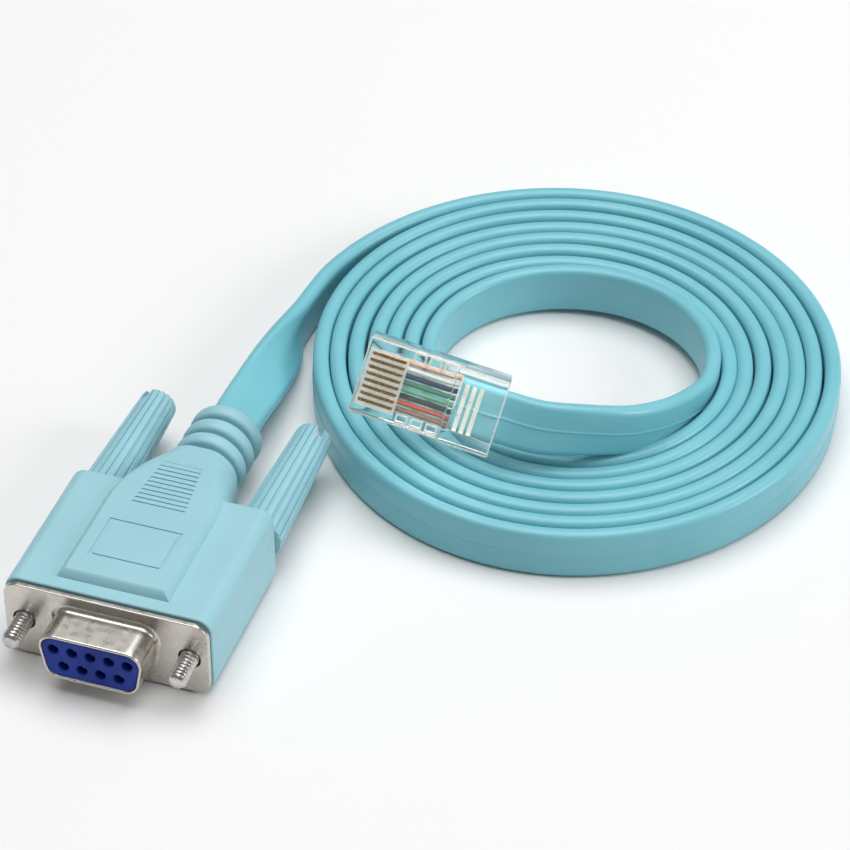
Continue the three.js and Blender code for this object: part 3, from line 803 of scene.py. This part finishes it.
def hood_grooves():
    """The sunk frame and the grip's slots in the panel's top."""
    x, y0, y1, z0 = FRAME_W / 2, FRAME_START, FRAME_START + FRAME_L, PANEL_TOP - GROOVE_DEPTH
    g, above = GROOVE_W, PANEL_TOP + 1
    outer = [(-x, y0), (x, y0), (x, y1), (-x, y1)]
    inner = [(-x + g, y0 + g), (x - g, y0 + g), (x - g, y1 - g), (-x + g, y1 - g)]
    rings = []
    for z, ring in ((z0, outer), (above, outer), (above, inner), (z0, inner)):
        rings.append([(px, py, z) for px, py in ring])
    cuts = [loft(rings, loop=True)]
    for i in range(GRIP_COUNT):
        share = i / (GRIP_COUNT - 1)
        half = (GRIP_FRONT_W + (GRIP_REAR_W - GRIP_FRONT_W) * share) / 2
        y = GRIP_START + i * GRIP_PITCH
        cuts.append(box_faces(-half, half, y, y + GRIP_PITCH * 0.5, z0, above))
    return make_object("grooves", *merged(cuts))


def make_hood():
    hood = hood_slab()
    boolean(hood, hood_panel(), "UNION")
    boolean(hood, strain_relief(), "UNION")
    boolean(hood, hood_grooves())
    for side in (-1, 1):
        hole = rod(SCREW_R + CLEAR, 0, SHOULDER_Y + 1, side * SCREW_X, MID_Z)
        boolean(hood, make_object("hole", *hole))
    shade(hood, 38)
    even_normals(hood)
    finish_piece(hood, moulded, nodes=("hood",))


make_shell()
make_insulator()
for screw_name, screw_side in (("left", -1), ("right", 1)):
    make_screw(screw_name, screw_side)
    make_knob(screw_name, screw_side)
make_hood()

# Plug
WIRE_COLORS = {
    "orange": (0.62, 0.3, 0.17),
    "white": (0.78, 0.78, 0.74),
    "blue": (0.006, 0.012, 0.07),
    "green": (0.03, 0.2, 0.11),
    "pale_green": (0.12, 0.38, 0.24),
    "black": (0.012, 0.01, 0.009),
    "red": (0.5, 0.07, 0.02),
    "brown": (0.28, 0.13, 0.07),
}


def plug_box(x0, x1, y0, y1, z0, z1):
    points, faces = box_faces(x0, x1, y0, y1, z0, z1)
    return [in_plug(*p) for p in points], faces


def plug_prism(profile, half, tip_half=None, tip_from=0):
    """A side view (x, z) drawn out across the plug, narrower past tip_from."""
    rings = []
    for side in (-1, 1):
        ring = []
        for x, z in profile:
            wide = tip_half if tip_half and x > tip_from else half
            ring.append(in_plug(x, side * wide, z))
        rings.append(ring)
    return loft(rings)


def plug_cuts():
    """The blades' slits, the side windows, the pocket behind the step, the wires' passage."""
    comb_end = BLADE_END + 0.4
    cuts = [plug_box(COMB_START, comb_end, -COMB_HALF, COMB_HALF, -COMB_DEPTH, CUT_TOP)]
    start, stop, slit = BLADE_START - 0.1, BLADE_END + 0.1, BLADE_T / 2 + SLIT_CLEAR
    for i in range(BLADES):
        y = (i - (BLADES - 1) / 2) * BLADE_PITCH
        cuts.append(plug_box(start, stop, y - slit, y + slit, -SLIT_DEPTH, CUT_TOP))
    for x in WINDOW_STARTS:
        for y in (-WINDOW_Y, WINDOW_Y):
            for rim, depth in ((0, WINDOW_DEPTH), (WINDOW_RIM, WINDOW_RIM_DEPTH)):
                half, end = WINDOW_HALF + rim, x + WINDOW_L + rim
                cuts.append(plug_box(x - rim, end, y - half, y + half, -depth, CUT_TOP))
    floor = PLUG_STEP - POCKET_DEPTH
    for x in POCKET_STARTS:
        cuts.append(plug_box(x, x + POCKET_L, -POCKET_HALF, POCKET_HALF, floor, CUT_TOP))
    low, high = WIRE_Z - WIRES_TALL, WIRE_Z + WIRES_TALL
    cuts.append(plug_box(WIRES_START, WIRE_END + CLEAR, -WIRES_HALF, WIRES_HALF, low, high))
    return cuts


def gets_painted_highlight(at):
    """Whether the plug's face at this place gets the painted highlight: a cut or sunk face, or one
    on the rims of its top.
    """
    side, skin = abs(at.y), 0.02
    half = PLUG_W / 2
    if side > half - PLUG_BEVEL and at.z > -PLUG_BEVEL:
        return True
    if at.x > PLUG_L - PLUG_BEVEL and at.z > PLUG_STEP - PLUG_BEVEL:
        return True
    if WINDOW_STARTS[0] - 0.4 < at.x < PLUG_STEP_X and side > half - 2.3:
        if 0.05 - WINDOW_DEPTH < at.z < -skin:
            return True
    if POCKET_STARTS[0] - 0.1 < at.x < 18.3 and side < POCKET_HALF + 0.05:
        if PLUG_STEP - POCKET_DEPTH - 0.05 < at.z < PLUG_STEP - skin:
            return True
    comb = at.x < BLADE_END + 0.5 and side < COMB_HALF + 0.05
    return comb and -SLIT_DEPTH - 0.05 < at.z < -skin


def plug_body():
    side = [(0, -PLUG_T), (PLUG_L, -PLUG_T), (PLUG_L, PLUG_STEP)]
    side += [(PLUG_STEP_X, PLUG_STEP), (PLUG_STEP_X, 0), (0, 0)]
    plug = make_object("plug_shell", *plug_prism(side, PLUG_W / 2))
    bevel(plug, PLUG_BEVEL, 2)
    latch = plug_prism(LATCH_SIDE, LATCH_HALF, LATCH_TIP_HALF, LATCH_TIP_X)
    boolean(plug, make_object("latch", *latch), "UNION")
    boolean(plug, make_object("cuts", *merged(plug_cuts())))
    wide, tall = CABLE_W / 2 + MOUTH_CLEAR, CABLE_T / 2 + MOUTH_CLEAR
    mouth = plug_box(WIRE_END, PLUG_L + 2, -wide, wide, WIRE_Z - tall, WIRE_Z + tall)
    boolean(plug, make_object("mouth", *mouth))
    return plug


def make_plug():
    plug = plug_body()
    set_material(plug, clear)
    # second slot: painted highlight, white on the rims and the cut and sunk faces
    plug.data.materials.append(painted_highlight)
    home = PLUG.inverted()
    # faces on the rims and in the cuts take the painted highlight material
    for face in plug.data.polygons:
        if gets_painted_highlight(home @ (face.center / MM - SHIFT)):
            face.material_index = 1
    shade(plug, 35)
    plug.visible_shadow = False
    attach(plug, "cable_set")
    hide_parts("plug_body")
    return plug


WIRE_ORDER = ["orange", "white", "blue", "green", "pale_green", "black", "red", "brown"]
for i, color_name in enumerate(WIRE_ORDER):
    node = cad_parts[f"wire_{i + 1}"]
    set_material(node, wire_material(f"wire_{color_name}", WIRE_COLORS[color_name]))
for i in range(BLADES):
    set_material(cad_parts[f"plug_contact_{i + 1}"], gold)
for i in range(LONG_ROW * 2 - 1):
    set_material(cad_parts[f"contact_{i + 1}"], gold)

plug_pieces = [make_plug()]
plug_pieces += [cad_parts[f"plug_contact_{i + 1}"] for i in range(BLADES)]
plug_pieces += [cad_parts[f"wire_{i + 1}"] for i in range(BLADES)]


# Floor, lights and background; each light has a place and size in metres and a power in watts
LIGHT_TARGET = (0.03, 0.03, 0)
LIGHTS = [
    ("overhead", (0.0, 0.2, 1.15), 1.3, 14.2),
    ("right", (1.05, 0.15, 0.5), 0.5, 4.8),
    ("left", (-1.0, 0.2, 0.7), 0.8, 0.4),
]
WORLD_STRENGTH = 0.18


def make_floor():
    side, z = 3000, -0.02
    points = [(-side, -side, z), (side, -side, z), (side, side, z), (-side, side, z)]
    floor = make_object("floor", points, [(0, 1, 2, 3)])
    material, surface = shader("floor_paper", (0.84, 0.84, 0.84), 0.8)
    tint = add_noise(material, 3, 2)
    vary_color(material, surface, tint, (0.83, 0.83, 0.83), (0.85, 0.85, 0.85))
    set_material(floor, material)


def make_light(name, place, size, power):
    data = bpy.data.lights.new(name, "AREA")
    data.shape, data.size, data.energy = "DISK", size, power
    light = bpy.data.objects.new(name, data)
    light.location = place
    aim = Vector(LIGHT_TARGET) - Vector(place)
    light.rotation_euler = aim.to_track_quat("-Z", "Y").to_euler()
    bpy.context.scene.collection.objects.link(light)


def make_lights():
    for name, place, size, power in LIGHTS:
        make_light(name, place, size, power)
    world = bpy.data.worlds.new("studio")
    world.use_nodes = True
    background = world.node_tree.nodes["Background"]
    background.inputs["Color"].default_value = (1, 1, 1, 1)
    background.inputs["Strength"].default_value = WORLD_STRENGTH
    bpy.context.scene.world = world
    bpy.context.scene.view_settings.view_transform = "Standard"


make_floor()
make_lights()
